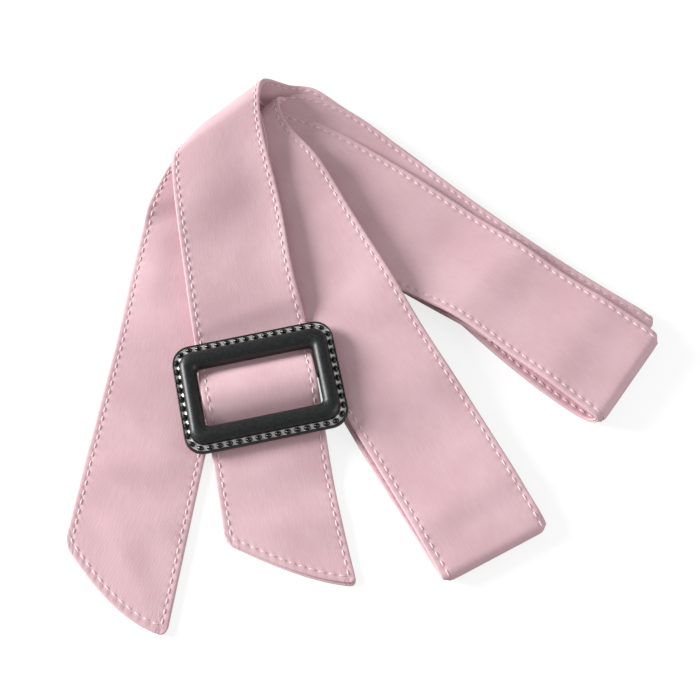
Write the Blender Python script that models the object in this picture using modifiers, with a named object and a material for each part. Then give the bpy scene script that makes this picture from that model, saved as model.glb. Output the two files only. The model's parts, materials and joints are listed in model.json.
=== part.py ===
"""Trench coat belt, folded in three and laid on a table, with its slider buckle.

One long flat strip of doubled cloth is folded to and fro. Each straight run of
it that shows is a piece of its own. All sizes below are in millimetres and
degrees; the model itself is in metres, +Z up, with the underside at z = 0.
"""
import math

import bmesh
import bpy
import numpy as np
from mathutils import Euler, Matrix, Vector

MM = 0.001

# ---------------------------------------------------------------- sizes
BELT_WIDTH = 50.0        # finished width of the belt
WALL = 2.2               # two plies of cloth with their stiffening
SEAM_GAP = 0.3           # left between one stretch and the next
SEAM_AWAY = 4.0          # distance of that gap from the turn beside it
CELL_LENGTH = 5.0        # longest step along the belt
CELLS_ACROSS = 4
TURN_STEPS = 5           # stations inside each turn
START_BOW = 3.2          # how far the front tail's slanted end bulges outwards
END_BOW = 6.0            # the same for the left tail's end
BOW_REACH = 26.0         # length of belt over which that fades
MIDDLE_OF_BOX = (9.4, 7.1)   # table position that becomes the origin

BUCKLE_MIDDLE = (-39.0, -22.4, 8.5)   # centre of the frame's underside
BUCKLE_BEARING = 11.2    # long side of the frame
BUCKLE_RISE_FAR = 4.5    # tilt that lifts the far bar
BUCKLE_RISE_RIGHT = 3.0  # tilt that lifts the right side
FRAME_OUTER = (71.2, 49.6)
FRAME_INNER = (51.2, 27.0)
OUTER_CORNER = 8.2
INNER_CORNER = 2.0
CORNER_STEPS = 5
BAR_RADIUS = 1.2
BAR_HEIGHT = 1.5         # bar axis above the frame's underside
BAR_CLEARANCE = 0.3

# Section of the frame from its inner wall to its outer rim: share of the way
# across, and height above the underside.
FRAME_SECTION = (
    # across, height
    (0.00, 0.3),
    (0.00, 3.4),
    (0.10, 4.9),
    (0.30, 5.8),
    (0.50, 5.6),
    (0.65, 4.4),
    (0.71, 2.7),
    (0.84, 2.5),
    (0.95, 2.7),
    (1.00, 2.1),
    (1.00, 0.4),
    (0.94, 0.0),
    (0.06, 0.0),
)

# Where the belt lies. A row is a section straight across the belt: its middle
# (x, y, z at mid thickness), the bearing of the line from its left edge to its
# right edge, how far the right edge stands above the middle, and half its
# length where that is not simply the belt's width cut at its bearing.
COLUMNS = ("x", "y", "z", "bearing", "roll", "half")
STRETCHES = (
    ("front_tail", (
        (-24.5, -98.5, 1.1, -18.0, 0.0, None),
        (-30.9, -68.0, 1.1, 0.0, 0.0, 25.0),
        (-34.6, -47.1, 3.9, 11.2, 1.1, 24.8),
        (-36.6, -35.5, 5.2, 11.2, 1.3, None),
        (-38.0, -28.4, 10.6, 11.2, 1.3, None),
        (-39.2, -22.4, 12.6, 11.2, 1.3, None),
        (-40.3, -16.6, 11.8, 11.2, 1.3, None),
        (-41.6, -9.5, 8.0, 11.2, 1.3, None),
        (-43.4, 1.8, 8.3, 12.5, 1.6, None),
        (-46.1, 13.1, 13.0, 20.0, 3.0, 24.6),
        (-53.7, 53.9, 21.6, 28.0, 1.4, 24.7),
        (-59.0, 79.8, 24.2, 36.0, 0.6, 24.8),
        (-61.5, 102.6, 24.4, 42.0, 0.0, 25.8))),
    ("arm_bottom", (
        (-40.0, 123.8, 1.2, 44.0, 0.0, None),
        (-29.1, 118.5, 1.1, 45.0, 0.0, None),
        (2.8, 92.5, 1.1, 46.0, 0.0, None),
        (50.3, 47.7, 1.1, 48.0, 0.0, None),
        (117.2, -14.6, 1.1, 53.0, 0.0, None))),
    ("arm_top", (
        (119.6, -15.8, 9.4, 54.0, 0.0, None),
        (86.2, 10.5, 9.9, 53.0, -0.4, 24.0),
        (61.0, 30.6, 10.0, 52.5, -0.6, 24.2),
        (14.0, 63.3, 9.1, 50.0, 0.0, 27.2),
        (-32.8, 95.9, 9.2, 47.0, 0.0, None),
        (-52.5, 101.8, 9.2, 45.0, 0.0, None))),
    ("loop_under", (
        (-53.3, 100.4, 12.6, 45.0, 0.0, None),
        (-35.5, 73.5, 12.1, 37.5, 0.9, None),
        (-21.5, 49.5, 11.1, 33.0, 3.0, None),
        (-2.6, 16.4, 8.4, 30.0, 4.8, None),
        (11.0, -8.0, 4.4, 30.0, 3.0, None),
        (26.0, -35.5, 1.6, 30.0, 0.5, None),
        (38.0, -56.3, 1.1, 30.0, 0.0, None),
        (57.6, -90.1, 1.1, 28.5, 0.0, None))),
    ("loop_top", (
        (58.9, -92.6, 5.6, 28.5, 0.0, None),
        (28.0, -35.9, 5.8, 30.0, 1.2, None),
        (10.8, -7.3, 8.0, 30.0, 3.4, None),
        (-4.7, 20.2, 11.6, 30.5, 4.8, None),
        (-22.5, 52.3, 14.5, 35.0, 3.0, None),
        (-37.7, 79.3, 15.4, 37.0, 1.2, None),
        (-51.8, 101.8, 15.9, 41.5, 0.0, None))),
    ("arm_second", (
        (-46.0, 112.6, 6.7, 50.0, 0.2, 26.5),
        (-27.6, 109.9, 6.4, 51.5, 0.0, None),
        (5.8, 86.2, 6.4, 53.0, 0.0, None),
        (51.6, 45.4, 6.4, 52.8, 0.0, None),
        (119.6, -6.4, 6.7, 53.0, 0.0, None))),
    ("arm_third", (
        (119.0, -5.6, 3.7, 53.0, 0.0, None),
        (51.8, 39.0, 3.7, 54.0, 0.0, None),
        (-12.0, 81.3, 3.7, 50.0, 0.0, None),
        (-54.5, 107.0, 3.8, 39.0, 0.0, None))),
    ("left_tail", (
        (-62.2, 103.6, 19.1, 36.5, 0.0, 24.3),
        (-64.3, 76.9, 18.9, 23.0, 0.8, None),
        (-67.6, 58.7, 16.1, 11.0, 3.6, None),
        (-72.5, 38.1, 10.0, 3.0, 4.6, None),
        (-76.7, 14.5, 4.2, -3.0, 2.0, None),
        (-80.3, -7.3, 1.1, -9.5, 0.0, None),
        (-96.3, -109.1, 1.1, -41.0, 0.0, None))),
)

# The turn after each stretch: how far its left and right edges swing out past
# the fold, and the stretch whose solid it belongs to (0 this one, 1 the next).
TURNS = (
    # left, right, owner
    (8.8, 9.7, 0),
    (4.4, 3.8, 1),
    (2.8, 2.8, 1),
    (4.5, 4.7, 1),
    (4.5, 3.8, 0),
    (1.8, 1.8, 1),
    (2.4, 7.2, 1),
)

# ---------------------------------------------------------------- looks
PINK = (0.70, 0.47, 0.50)
MATERIALS = {
    # colour, roughness, metallic
    "cloth": (PINK, 0.62, 0.0),
    "frame": ((0.018, 0.019, 0.019), 0.45, 0.0),
    "bar": ((0.45, 0.46, 0.47), 0.30, 1.0),
}


# ---------------------------------------------------------------- helpers
def unit(vector):
    return vector / np.linalg.norm(vector)


def straight_sections(rows):
    """Left and right edge point and heading of every row of one stretch.

    A row's heading is the mean direction to its neighbours; its ruling is half
    the belt's width divided by the sine of the angle between the two.
    """
    table = [dict(zip(COLUMNS, row)) for row in rows]
    middles = np.array([(row["x"], row["y"]) for row in table])
    steps = np.diff(middles, axis=0)
    steps /= np.linalg.norm(steps, axis=1)[:, None]
    headings = np.vstack([steps[:1], steps[:-1] + steps[1:], steps[-1:]])
    sections = []
    for row, middle, heading in zip(table, middles, headings):
        heading = unit(heading)
        angle = math.radians(row["bearing"])
        ruling = np.array([math.cos(angle), math.sin(angle)])
        square = np.array([heading[1], -heading[0]])
        half = row["half"] or BELT_WIDTH / 2 / abs(ruling @ square)
        left = np.append(middle - ruling * half, row["z"] - row["roll"])
        right = np.append(middle + ruling * half, row["z"] + row["roll"])
        sections.append((left, right, heading))
    return sections


def turn_sections(before, after, swing_left, swing_right):
    """Sections round a fold: a half ellipse for each edge.

    Both edges go from the last section before the fold to the first one after
    it, and swing out square to the mean ruling by swing * sin(angle).
    """
    ruling = unit(((before[1] - before[0]) + (after[1] - after[0]))[:2])
    outward = np.array([-ruling[1], ruling[0]])
    outward *= math.copysign(1.0, outward @ before[2])
    sections = []
    for step in range(1, TURN_STEPS + 1):
        share = step / (TURN_STEPS + 1)
        angle = math.pi * share
        edges = []
        for side, swing in ((0, swing_left), (1, swing_right)):
            start, end = before[side], after[side]
            plan = start[:2] + (end[:2] - start[:2]) * share
            plan = plan + outward * swing * math.sin(angle)
            height = (start[2] + end[2]) / 2
            height += (start[2] - end[2]) / 2 * math.cos(angle)
            edges.append(np.append(plan, height))
        sections.append(tuple(edges))
    return sections


def natural_spline(knots, values, at):
    """Natural cubic spline through values at knots, read at the places at."""
    span = np.diff(knots)
    count = len(knots)
    matrix = np.zeros((count, count))
    matrix[0, 0] = matrix[-1, -1] = 1.0
    inner = np.arange(1, count - 1)
    matrix[inner, inner - 1] = span[:-1]
    matrix[inner, inner] = 2 * (span[:-1] + span[1:])
    matrix[inner, inner + 1] = span[1:]
    slope = np.diff(values, axis=0) / span[:, None]
    right = np.zeros_like(values)
    right[1:-1] = 6 * (slope[1:] - slope[:-1])
    bend = np.linalg.solve(matrix, right)
    k = np.clip(np.searchsorted(knots, at, side="right") - 1, 0, count - 2)
    a = (knots[k + 1] - at)[:, None]
    b = (at - knots[k])[:, None]
    h = span[k][:, None]
    cubic = (bend[k] * a ** 3 + bend[k + 1] * b ** 3) / (6 * h)
    line = (values[k] / h - bend[k] * h / 6) * a
    return cubic + line + (values[k + 1] / h - bend[k + 1] * h / 6) * b


def level_spline(knots, values, at):
    """Cubic Hermite spline that never overshoots, for the heights.

    The slope at a knot is the harmonic mean of its two neighbours' slopes, and
    nought where the height stops rising or falling.
    """
    span = np.diff(knots)
    slope = np.diff(values) / span
    product = slope[:-1] * slope[1:]
    total = slope[:-1] + slope[1:]
    safe = np.where(product > 0, total, 1.0)
    middle = np.where(product > 0, 2 * product / safe, 0.0)
    tangent = np.concatenate([slope[:1], middle, slope[-1:]])
    k = np.clip(np.searchsorted(knots, at, side="right") - 1, 0, len(span) - 1)
    h = span[k]
    t = (at - knots[k]) / h
    start = (1 + 2 * t) * (1 - t) ** 2 * values[k] + t * (1 - t) ** 2 * h * tangent[k]
    end = t * t * (3 - 2 * t) * values[k + 1] - t * t * (1 - t) * h * tangent[k + 1]
    return start + end


def lay_out_belt():
    """Edge points of every section, and the belt length at which each starts."""
    straight = [straight_sections(rows) for _, rows in STRETCHES]
    sections = []
    cuts = []   # the section nearest each cut, and the cut's distance from it
    for index, run in enumerate(straight):
        sections += [(left, right) for left, right, _ in run]
        last = len(sections) - 1
        if index < len(TURNS):
            swing_left, swing_right, owner = TURNS[index]
            turn = turn_sections(run[-1], straight[index + 1][0],
                                 swing_left, swing_right)
            sections += turn
            cuts.append((len(sections), SEAM_AWAY) if owner == 0
                        else (last, -SEAM_AWAY))
    left = np.array([section[0] for section in sections])
    right = np.array([section[1] for section in sections])
    middle = (left + right) / 2
    steps = np.linalg.norm(np.diff(middle, axis=0), axis=1)
    length = np.concatenate([[0.0], np.cumsum(steps)])
    cuts = [length[section] + away for section, away in cuts]
    return left, right, length, cuts


def edge_at(length, points, at):
    plan = natural_spline(length, points[:, :2], at)
    height = level_spline(length, points[:, 2], at)
    return np.column_stack([plan, height])


def stations(length, start, end):
    """Lengths along the belt: every section's own, and evenly between them."""
    inside = length[(length > start + 0.5) & (length < end - 0.5)]
    stops = np.concatenate([[start], inside, [end]])
    places = []
    for a, b in zip(stops[:-1], stops[1:]):
        count = max(1, math.ceil((b - a) / CELL_LENGTH))
        places += list(np.linspace(a, b, count, endpoint=False))
    return np.array(places + [end])


# ---------------------------------------------------------------- scene
def clear_scene():
    for obj in list(bpy.data.objects):
        bpy.data.objects.remove(obj)


def make_material(name, key):
    colour, roughness, metallic = MATERIALS[key]
    material = bpy.data.materials.new(name)
    material.use_nodes = True
    shader = material.node_tree.nodes["Principled BSDF"]
    shader.inputs["Base Color"].default_value = (*colour, 1.0)
    shader.inputs["Roughness"].default_value = roughness
    shader.inputs["Metallic"].default_value = metallic
    return material


def add_object(name, mesh, key, collection):
    obj = bpy.data.objects.new(name, mesh)
    obj.data.materials.append(make_material(name + "_material", key))
    collection.objects.link(obj)
    return obj


def grid_faces(rows, columns):
    """Quads of a grid of points, row after row."""
    faces = []
    for i in range(rows - 1):
        for j in range(columns - 1):
            here = i * columns + j
            faces.append((here, here + 1, here + columns + 1, here + columns))
    return faces


def bowed(at, across, total):
    """Lengths along the belt, moved outwards near its two rounded ends."""
    rounding = 1 - (2 * across - 1) ** 2
    near_start = np.clip(1 - at / BOW_REACH, 0.0, 1.0) ** 2
    near_end = np.clip(1 - (total - at) / BOW_REACH, 0.0, 1.0) ** 2
    return at + rounding * (END_BOW * near_end - START_BOW * near_start)


def add_stretch(name, left, right, length, start, end, collection):
    """One stretch of the belt: a ruled strip between its edges, with a wall."""
    at = stations(length, start, end)
    columns = []
    for across in np.linspace(0.0, 1.0, CELLS_ACROSS + 1):
        here = bowed(at, across, length[-1])
        edge_l = edge_at(length, left, here)
        edge_r = edge_at(length, right, here)
        columns.append(edge_l * (1 - across) + edge_r * across)
    points = np.stack(columns, axis=1)
    points[..., 0] -= MIDDLE_OF_BOX[0]
    points[..., 1] -= MIDDLE_OF_BOX[1]
    mesh = bpy.data.meshes.new(name)
    corners = (points.reshape(-1, 3) * MM).tolist()
    mesh.from_pydata(corners, [], grid_faces(len(at), CELLS_ACROSS + 1))
    mesh.shade_smooth()
    obj = add_object(name, mesh, "cloth", collection)
    wall = obj.modifiers.new("wall", "SOLIDIFY")
    wall.thickness = WALL * MM
    wall.offset = 0.0
    wall.use_even_offset = True
    return obj


def rounded_rectangle(size, radius):
    """Corner points of a rounded rectangle, anticlockwise from +X."""
    points = []
    for quarter in range(4):
        sign_x = 1 if quarter in (0, 3) else -1
        sign_y = 1 if quarter in (0, 1) else -1
        middle_x = sign_x * (size[0] / 2 - radius)
        middle_y = sign_y * (size[1] / 2 - radius)
        for step in range(CORNER_STEPS + 1):
            angle = math.radians(90) * (quarter + step / CORNER_STEPS)
            points.append((middle_x + radius * math.cos(angle),
                           middle_y + radius * math.sin(angle)))
    return np.array(points)


def buckle_matrix():
    turn = Euler((math.radians(BUCKLE_RISE_FAR), -math.radians(BUCKLE_RISE_RIGHT),
                  math.radians(BUCKLE_BEARING)), "XYZ")
    place = Vector((BUCKLE_MIDDLE[0] - MIDDLE_OF_BOX[0],
                    BUCKLE_MIDDLE[1] - MIDDLE_OF_BOX[1], BUCKLE_MIDDLE[2]))
    return Matrix.Translation(place * MM) @ turn.to_matrix().to_4x4()


def add_frame(collection, parent):
    """Moulded frame: one section carried round between two rounded outlines."""
    inner = rounded_rectangle(FRAME_INNER, INNER_CORNER)
    outer = rounded_rectangle(FRAME_OUTER, OUTER_CORNER)
    section = np.array(FRAME_SECTION)
    across = section[None, :, :1]
    plan = inner[:, None] * (1 - across) + outer[:, None] * across
    height = np.broadcast_to(section[None, :, 1:], plan.shape[:2] + (1,))
    points = np.concatenate([plan, height], axis=2)
    count = len(section)
    mesh = bpy.data.meshes.new("buckle_frame")
    corners = (points.reshape(-1, 3) * MM).tolist()
    faces = []
    for i in range(len(inner)):
        k = (i + 1) % len(inner)
        for j in range(count):
            m = (j + 1) % count
            faces.append((i * count + j, i * count + m, k * count + m, k * count + j))
    mesh.from_pydata(corners, [], faces)
    mesh.shade_smooth()
    frame = add_object("buckle_frame", mesh, "frame", collection)
    frame.parent = parent
    return frame


def add_bar(collection, parent):
    """Round bar across the middle of the frame; the belt passes over it."""
    bm = bmesh.new()
    length = FRAME_INNER[0] - 2 * BAR_CLEARANCE
    bmesh.ops.create_cone(bm, cap_ends=True, segments=16,
                          radius1=BAR_RADIUS * MM, radius2=BAR_RADIUS * MM,
                          depth=length * MM)
    mesh = bpy.data.meshes.new("buckle_bar")
    bm.to_mesh(mesh)
    bm.free()
    mesh.shade_smooth()
    mesh.set_sharp_from_angle(angle=math.radians(40))
    bar = add_object("buckle_bar", mesh, "bar", collection)
    bar.parent = parent
    bar.location = (0.0, 0.0, BAR_HEIGHT * MM)
    bar.rotation_euler = (0.0, math.radians(90), 0.0)
    return bar


def main():
    clear_scene()
    collection = bpy.data.collections.new("trench_coat_belt")
    bpy.context.scene.collection.children.link(collection)
    left, right, length, cuts = lay_out_belt()
    half_gap = SEAM_GAP / 2
    starts = [0.0] + [cut + half_gap for cut in cuts]
    ends = [cut - half_gap for cut in cuts] + [length[-1]]
    for (name, _), start, end in zip(STRETCHES, starts, ends):
        add_stretch(name, left, right, length, start, end, collection)
    buckle = bpy.data.objects.new("buckle_place", None)
    collection.objects.link(buckle)
    buckle.matrix_world = buckle_matrix()
    add_frame(collection, buckle)
    add_bar(collection, buckle)


main()
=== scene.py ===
# %% [markdown]
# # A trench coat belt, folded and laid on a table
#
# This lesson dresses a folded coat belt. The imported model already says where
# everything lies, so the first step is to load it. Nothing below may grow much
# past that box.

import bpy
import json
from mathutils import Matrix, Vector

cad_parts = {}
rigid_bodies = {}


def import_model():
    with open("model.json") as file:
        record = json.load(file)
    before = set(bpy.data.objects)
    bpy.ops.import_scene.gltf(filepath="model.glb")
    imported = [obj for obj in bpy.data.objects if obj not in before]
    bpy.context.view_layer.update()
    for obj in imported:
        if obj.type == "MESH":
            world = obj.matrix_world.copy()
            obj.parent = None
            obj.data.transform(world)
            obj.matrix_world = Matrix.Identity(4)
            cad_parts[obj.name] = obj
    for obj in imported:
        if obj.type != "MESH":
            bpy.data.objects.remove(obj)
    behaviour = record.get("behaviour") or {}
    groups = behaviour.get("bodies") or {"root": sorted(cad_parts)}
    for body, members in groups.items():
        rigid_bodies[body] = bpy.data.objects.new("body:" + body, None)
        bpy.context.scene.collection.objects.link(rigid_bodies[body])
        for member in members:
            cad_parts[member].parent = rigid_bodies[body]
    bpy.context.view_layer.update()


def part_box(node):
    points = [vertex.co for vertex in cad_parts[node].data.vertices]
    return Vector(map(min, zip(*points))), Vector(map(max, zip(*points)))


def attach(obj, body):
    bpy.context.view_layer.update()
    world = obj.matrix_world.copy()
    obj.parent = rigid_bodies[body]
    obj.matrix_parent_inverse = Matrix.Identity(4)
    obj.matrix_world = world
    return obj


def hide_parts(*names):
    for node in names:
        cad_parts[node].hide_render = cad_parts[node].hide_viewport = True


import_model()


def rounded(point):
    """The parts of a point in metres, to a tenth of a millimetre."""
    return [round(x, 4) for x in point]


# %% Modules and units
import json
import math

import bmesh
import bpy
import numpy as np
from mathutils import Euler, Matrix, Vector

MM = 0.001
BELT_WIDTH = 50.0                     # finished width, mm
HALF_WIDTH = BELT_WIDTH / 2
TABLE_MIDDLE = np.array([9.4, 7.1])   # table position of the model's origin, mm
print("belt width:", BELT_WIDTH, "mm")

# %% [markdown]
# ## Where the belt lies
#
# A real belt is one long strip, so it is described as one: a short table of
# straight sections across it, taken in the order in which the strip travels.
# Each row gives the middle of a section, the bearing of the line from the left
# edge to the right edge, and how much the right edge is raised. Its last column
# is half the section's length, and None leaves that to the belt's width.
# Between two runs the strip turns over in a half ellipse. The same rows built
# the solids, which is why the dressed belt will lie exactly where they are.

# %% Sections of every run
COLUMNS = ("x", "y", "z", "bearing", "roll", "half")
RUNS = {
    "front_tail": (
        (-24.5, -98.5, 1.1, -18.0, 0.0, None),
        (-30.9, -68.0, 1.1, 0.0, 0.0, 25.0),
        (-34.6, -47.1, 3.9, 11.2, 1.1, 24.8),
        (-36.6, -35.5, 5.2, 11.2, 1.3, None),
        (-38.0, -28.4, 10.6, 11.2, 1.3, None),
        (-39.2, -22.4, 12.6, 11.2, 1.3, None),
        (-40.3, -16.6, 11.8, 11.2, 1.3, None),
        (-41.6, -9.5, 8.0, 11.2, 1.3, None),
        (-43.4, 1.8, 8.3, 12.5, 1.6, None),
        (-46.1, 13.1, 13.0, 20.0, 3.0, 24.6),
        (-53.7, 53.9, 21.6, 28.0, 1.4, 24.7),
        (-59.0, 79.8, 24.2, 36.0, 0.6, 24.8),
        (-61.5, 102.6, 24.4, 42.0, 0.0, 25.8)),
    "arm_bottom": (
        (-40.0, 123.8, 1.2, 44.0, 0.0, None),
        (-29.1, 118.5, 1.1, 45.0, 0.0, None),
        (2.8, 92.5, 1.1, 46.0, 0.0, None),
        (50.3, 47.7, 1.1, 48.0, 0.0, None),
        (117.2, -14.6, 1.1, 53.0, 0.0, None)),
    "arm_top": (
        (119.6, -15.8, 9.4, 54.0, 0.0, None),
        (86.2, 10.5, 9.9, 53.0, -0.4, 24.0),
        (61.0, 30.6, 10.0, 52.5, -0.6, 24.2),
        (14.0, 63.3, 9.1, 50.0, 0.0, 27.2),
        (-32.8, 95.9, 9.2, 47.0, 0.0, None),
        (-52.5, 101.8, 9.2, 45.0, 0.0, None)),
    "loop_under": (
        (-53.3, 100.4, 12.6, 45.0, 0.0, None),
        (-35.5, 73.5, 12.1, 37.5, 0.9, None),
        (-21.5, 49.5, 11.1, 33.0, 3.0, None),
        (-2.6, 16.4, 8.4, 30.0, 4.8, None),
        (11.0, -8.0, 4.4, 30.0, 3.0, None),
        (26.0, -35.5, 1.6, 30.0, 0.5, None),
        (38.0, -56.3, 1.1, 30.0, 0.0, None),
        (57.6, -90.1, 1.1, 28.5, 0.0, None)),
    "loop_top": (
        (58.9, -92.6, 5.6, 28.5, 0.0, None),
        (28.0, -35.9, 5.8, 30.0, 1.2, None),
        (10.8, -7.3, 8.0, 30.0, 3.4, None),
        (-4.7, 20.2, 11.6, 30.5, 4.8, None),
        (-22.5, 52.3, 14.5, 35.0, 3.0, None),
        (-37.7, 79.3, 15.4, 37.0, 1.2, None),
        (-51.8, 101.8, 15.9, 41.5, 0.0, None)),
    "arm_second": (
        (-46.0, 112.6, 6.7, 50.0, 0.2, 26.5),
        (-27.6, 109.9, 6.4, 51.5, 0.0, None),
        (5.8, 86.2, 6.4, 53.0, 0.0, None),
        (51.6, 45.4, 6.4, 52.8, 0.0, None),
        (119.6, -6.4, 6.7, 53.0, 0.0, None)),
    "arm_third": (
        (119.0, -5.6, 3.7, 53.0, 0.0, None),
        (51.8, 39.0, 3.7, 54.0, 0.0, None),
        (-12.0, 81.3, 3.7, 50.0, 0.0, None),
        (-54.5, 107.0, 3.8, 39.0, 0.0, None)),
    "left_tail": (
        (-62.2, 103.6, 19.1, 36.5, 0.0, 24.3),
        (-64.3, 76.9, 18.9, 23.0, 0.8, None),
        (-67.6, 58.7, 16.1, 11.0, 3.6, None),
        (-72.5, 38.1, 10.0, 3.0, 4.6, None),
        (-76.7, 14.5, 4.2, -3.0, 2.0, None),
        (-80.3, -7.3, 1.1, -9.5, 0.0, None),
        (-96.3, -109.1, 1.1, -41.0, 0.0, None)),
}
CLOTH_NODES = tuple(RUNS)   # each run dresses the solid of its own name
# How far each turn's left and right edges swing out past its fold, mm.
TURN_SWINGS = ((8.8, 9.7), (4.4, 3.8), (2.8, 2.8),
               (4.5, 4.7), (4.5, 3.8), (1.8, 1.8), (2.4, 7.2))
TURN_STATIONS = 5           # sections inside each turn
print("runs:", len(RUNS), "turns:", len(TURN_SWINGS))

# %% Sections and turns as points
def run_sections(rows):
    """Ends of every section of a run, and the run's heading there.

    The heading is the mean direction to the neighbouring sections. A section
    is as long as the belt's width divided by the sine of the angle between
    its bearing and the heading, unless its row says otherwise.
    """
    table = {name: np.array([float(row[k] or 0) for row in rows])
             for k, name in enumerate(COLUMNS)}
    middle = np.column_stack([table["x"], table["y"]])
    step = np.diff(middle, axis=0)
    step /= np.linalg.norm(step, axis=1)[:, None]
    heading = np.vstack([step[:1], step[:-1] + step[1:], step[-1:]])
    heading /= np.linalg.norm(heading, axis=1)[:, None]
    angle = np.radians(table["bearing"])
    ruling = np.column_stack([np.cos(angle), np.sin(angle)])
    slant = np.abs(ruling[:, 0] * heading[:, 1] - ruling[:, 1] * heading[:, 0])
    half = np.where(table["half"] > 0, table["half"], HALF_WIDTH / slant)
    reach = ruling * half[:, None]
    left = np.column_stack([middle - reach, table["z"] - table["roll"]])
    right = np.column_stack([middle + reach, table["z"] + table["roll"]])
    return left, right, heading


def turn_edges(start, end, outward, swing):
    """A half ellipse from start to end: plan = chord + outward * swing * sin,
    height = mean + half difference * cos."""
    share = np.arange(1, TURN_STATIONS + 1)[:, None] / (TURN_STATIONS + 1)
    angle = math.pi * share
    plan = start[:2] + (end[:2] - start[:2]) * share + outward * swing * np.sin(angle)
    height = (start[2] + end[2]) / 2 + (start[2] - end[2]) / 2 * np.cos(angle)
    return np.hstack([plan, height])


def length_along(points):
    """Distance travelled at each point of a line: the sum of the steps so far."""
    steps = np.linalg.norm(np.diff(points, axis=0), axis=1)
    return np.concatenate([[0.0], np.cumsum(steps)])


sections = [run_sections(rows) for rows in RUNS.values()]
lefts, rights, first_station = [], [], []
for k, (left, right, heading) in enumerate(sections):
    first_station.append(sum(len(part) for part in lefts))
    lefts.append(left)
    rights.append(right)
    if k < len(TURN_SWINGS):
        next_left, next_right, _ = sections[k + 1]
        ruling = (right[-1] - left[-1] + next_right[0] - next_left[0])[:2]
        outward = np.array([-ruling[1], ruling[0]]) / np.linalg.norm(ruling)
        outward *= np.sign(outward @ heading[-1])
        lefts.append(turn_edges(left[-1], next_left[0], outward, TURN_SWINGS[k][0]))
        rights.append(turn_edges(right[-1], next_right[0], outward, TURN_SWINGS[k][1]))
LEFT, RIGHT = np.vstack(lefts), np.vstack(rights)
STATION = length_along((LEFT + RIGHT) / 2)
RUN_START = {name: STATION[k] for name, k in zip(RUNS, first_station)}
RUN_END = {name: STATION[k + len(rows) - 1]
           for (name, rows), k in zip(RUNS.items(), first_station)}
BELT_LENGTH = STATION[-1]
print("belt length %.0f mm," % BELT_LENGTH, "runs start at",
      {name: round(s) for name, s in RUN_START.items()})

# %% [markdown]
# ## A smooth strip through the sections
#
# In plan the edges follow a natural cubic spline, the curve that a thin
# springy strip takes by itself. A cubic of that kind overshoots where cloth
# steps up onto a pile, so the heights use a Hermite curve whose slope is the
# harmonic mean of its neighbours, which never rises above what it rests on.

# %% Splines
def bend_of_spline(knots, values):
    """Second derivatives of the natural cubic spline: the solution of the
    three-banded system that makes slopes agree at every knot."""
    span = np.diff(knots)
    count = len(knots)
    inner = np.arange(1, count - 1)
    matrix = np.eye(count)
    matrix[inner, inner - 1] = span[:-1]
    matrix[inner, inner] = 2 * (span[:-1] + span[1:])
    matrix[inner, inner + 1] = span[1:]
    slope = np.diff(values, axis=0) / span[:, None]
    right = np.zeros_like(values)
    right[1:-1] = 6 * (slope[1:] - slope[:-1])
    return np.linalg.solve(matrix, right)


def slope_of_heights(knots, values):
    """Slope at each knot: harmonic mean of both sides, nought at a turn."""
    slope = np.diff(values) / np.diff(knots)
    product, total = slope[:-1] * slope[1:], slope[:-1] + slope[1:]
    rising = product > 0
    middle = np.where(rising, 2 * product / np.where(rising, total, 1.0), 0.0)
    return np.concatenate([slope[:1], middle, slope[-1:]])


def edge_curve(points):
    """The edge as a function of belt length. In plan it is the cubic through
    both knots with the spline's second derivatives, and in height the cubic
    through both knots with the slopes found above."""
    bend = bend_of_spline(STATION, points[:, :2])
    slope = slope_of_heights(STATION, points[:, 2])
    span = np.diff(STATION)

    def curve(at):
        """The edge's point at a length: k is the knot before it, and a and b
        are the lengths left to the next knot and passed since this one."""
        k = np.clip(np.searchsorted(STATION, at, side="right") - 1, 0, len(span) - 1)
        h = span[k][..., None]
        a = (STATION[k + 1] - at)[..., None]
        b = (at - STATION[k])[..., None]
        plan = ((bend[k] * a ** 3 + bend[k + 1] * b ** 3) / (6 * h)
                + (points[k, :2] / h - bend[k] * h / 6) * a
                + (points[k + 1, :2] / h - bend[k + 1] * h / 6) * b)
        t = np.clip(b / h, 0.0, 1.0)
        low, high = points[k, 2:], points[k + 1, 2:]
        rise_low, rise_high = slope[k][..., None], slope[k + 1][..., None]
        height = ((1 + 2 * t) * (1 - t) ** 2 * low + t * (1 - t) ** 2 * h * rise_low
                  + t * t * (3 - 2 * t) * high - t * t * (1 - t) * h * rise_high)
        return np.concatenate([plan, height], axis=-1)

    return curve


left_curve, right_curve = edge_curve(LEFT), edge_curve(RIGHT)
print("left edge starts at", left_curve(np.array(0.0)).round(1))

# %% [markdown]
# ## Creases
#
# Cloth that has been folded and laid down is never quite flat. The creases are
# placed one by one, each a soft ridge or trough with its own length, width and
# height, because even spacing would look machine made. Where runs lie on one
# another they stay low, because the gap is only about half a millimetre. The
# tall ones are on top of the pile and at loose edges, and a few short ones at
# the ends of a fold pull its corners in. The hidden runs have some too, so
# that the belt looks worn from every side.

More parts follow.
